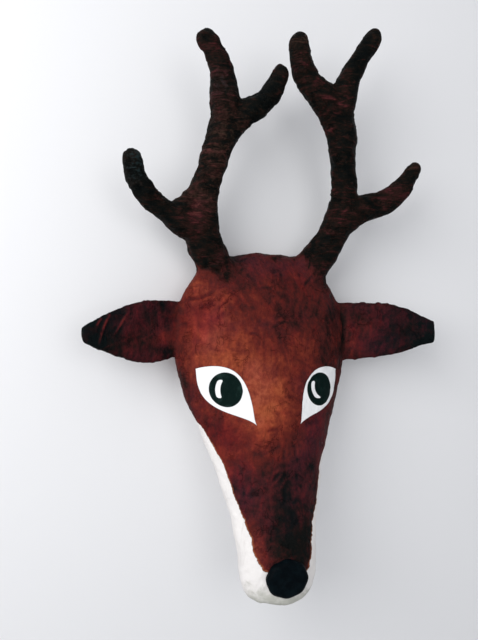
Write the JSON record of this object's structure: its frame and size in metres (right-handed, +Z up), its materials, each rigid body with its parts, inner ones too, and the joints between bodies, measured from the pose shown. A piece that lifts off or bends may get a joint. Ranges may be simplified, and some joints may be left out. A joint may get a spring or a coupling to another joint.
{
  "type": "papier mache stag head",
  "caption": "Papier-mache stag's head with antlers, drooping leaf-shaped ears, a long tapering muzzle and a raised round nose, hung with its flat back against a wall",
  "frame": {"origin": "middle of the flat back that lies on the wall, on the midline, 81 mm below the crown and level with the top of the ears", "axes": "+Z up as it hangs, +Y into the wall, so the muzzle points to -Y; +X is on the right of someone facing it"},
  "size_m": [0.3698, 0.1396, 0.549],
  "materials": {
    "stag_head": "painted papier mache with a satin sheen, red-brown head, near-black antlers, off-white jaw, black nose and painted eyes"
  },
  "bodies": {
    "root": {"stag_head": "stag_head"}
  },
  "joints": []
}
